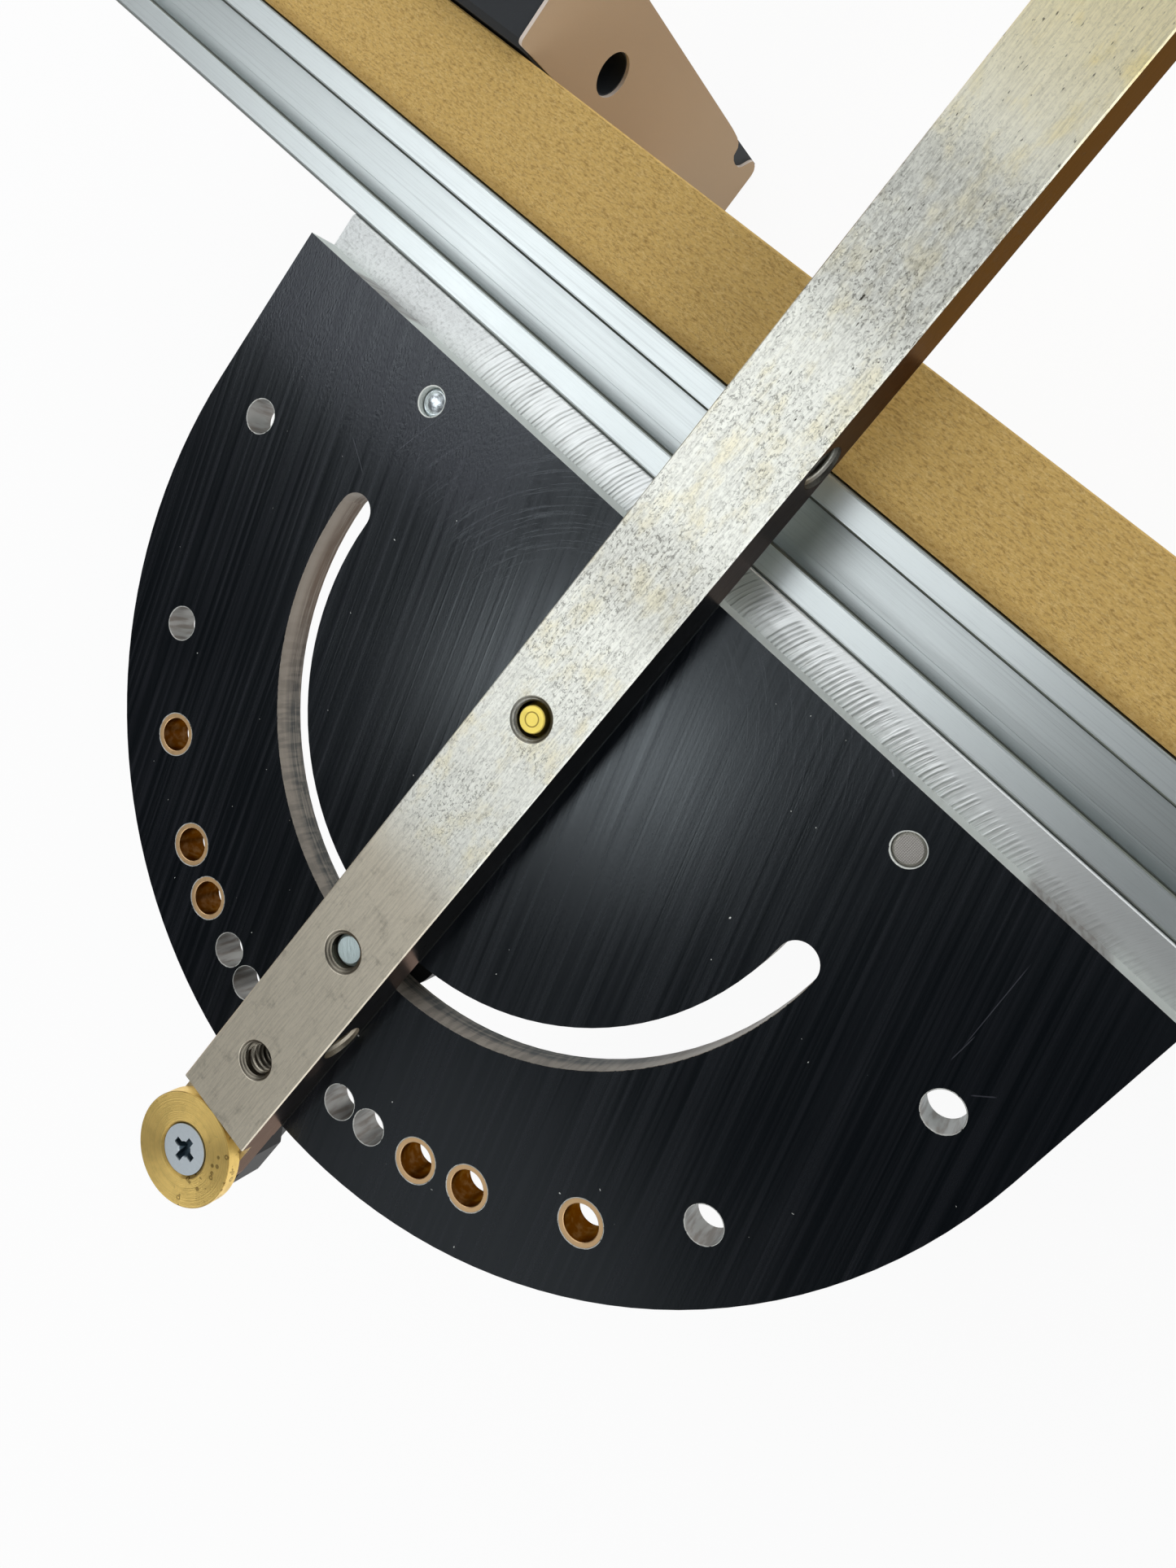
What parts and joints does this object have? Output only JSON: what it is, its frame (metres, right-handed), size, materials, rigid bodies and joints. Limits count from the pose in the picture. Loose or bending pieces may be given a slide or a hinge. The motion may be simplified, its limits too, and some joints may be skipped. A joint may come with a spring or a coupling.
{
  "type": "angle jig",
  "caption": "Table-slot angle jig: guide bar with slot washer, indexed swinging head plate with a clamp handle, and an extruded fence with face board and sliding stop.",
  "frame": {"origin": "pivot axis of the head, in the plane of the table top, on the guide bar's centre line", "axes": "+X along the fence, +Y along the guide bar from the tongue towards the work, +Z from the table side of the plate up out of the bar (the jig lies on its back)"},
  "size_m": [0.457, 0.4081, 0.1151],
  "materials": {
    "bar_steel": "cold-drawn steel, mottled and lightly pitted",
    "bright_steel": "bright turned or ground steel",
    "zinc": "bright zinc plate",
    "turned_brass": "turned brass with fine rings",
    "bronze": "plain bronze",
    "black_plate": "black anodised, worn, with bare cut edges",
    "black_arm": "black anodised",
    "milled_aluminium": "fly-cut milled face",
    "rail_aluminium": "clear anodised extrusion",
    "black_plastic": "moulded black plastic",
    "stop_black": "matte black plastic",
    "stop_tan": "matte tan plastic",
    "board": "medium density fibreboard, raw"
  },
  "bodies": {
    "bar": {"guide_bar": "bar_steel", "slot_washer": "turned_brass", "washer_screw": "zinc", "index_arm": "black_arm", "arm_dowels": "bright_steel", "plunger_sleeve": "zinc", "plunger_spring": "bright_steel", "pivot_stud": "turned_brass", "pivot_washer": "bright_steel", "clamp_stud": "zinc", "side_sleeves": "zinc", "side_spring_front": "bright_steel", "side_spring_rear": "bright_steel"},
    "plunger": {"index_plunger": "bright_steel", "plunger_knob": "black_plastic"},
    "nose_front": {"side_nose_front": "bright_steel"},
    "nose_rear": {"side_nose_rear": "bright_steel"},
    "head": {"head_plate": "black_plate", "index_bushes": "bronze", "pivot_bush": "bronze", "fence_bracket": "milled_aluminium", "bracket_screws": "zinc", "fence_rail": "rail_aluminium", "fence_bolts": "zinc", "fence_t_nuts": "bright_steel", "face_board": "board", "board_screws": "zinc", "board_t_nuts": "bright_steel"},
    "clamp_ring": {"clamp_washer": "black_plastic"},
    "handle": {"handle_insert": "turned_brass", "clamp_handle": "black_plastic"},
    "stop": {"stop_body": "stop_black", "stop_plate": "stop_tan", "stop_bolts": "zinc", "stop_t_nuts": "bright_steel"}
  },
  "joints": [
    {"name": "head_swing", "type": "hinge", "parent": "bar", "child": "head", "pos_m": [0, 0, 0], "axis": [0, 0, 1], "range_deg": [-90, 90]},
    {"name": "index_plunger_slide", "type": "slide", "parent": "bar", "child": "plunger", "axis": [0, 0, 1], "range_m": [0, 0.006], "deforming": ["plunger_spring"]},
    {"name": "clamp_rise", "type": "slide", "parent": "bar", "child": "clamp_ring", "axis": [0, 0, 1], "range_m": [0, 0.00127]},
    {"name": "clamp_turn", "type": "hinge", "parent": "clamp_ring", "child": "handle", "pos_m": [0, -0.05775, -0.05], "axis": [0, 0, 1], "range_deg": [0, 360]},
    {"name": "nose_front_press", "type": "slide", "parent": "bar", "child": "nose_front", "axis": [1, 0, 0], "range_m": [0, 0.0014], "stiffness_N_per_m": 1000, "springref_m": -0.002, "deforming": ["side_spring_front"]},
    {"name": "nose_rear_press", "type": "slide", "parent": "bar", "child": "nose_rear", "axis": [1, 0, 0], "range_m": [0, 0.0014], "stiffness_N_per_m": 1000, "springref_m": -0.002, "deforming": ["side_spring_rear"]},
    {"name": "stop_slide", "type": "slide", "parent": "head", "child": "stop", "axis": [1, 0, 0], "range_m": [-0.09, 0.3]}
  ],
  "couplings": [
    {"joint": "clamp_turn", "follows": "clamp_rise", "rad_per_m": 4947.4}
  ]
}
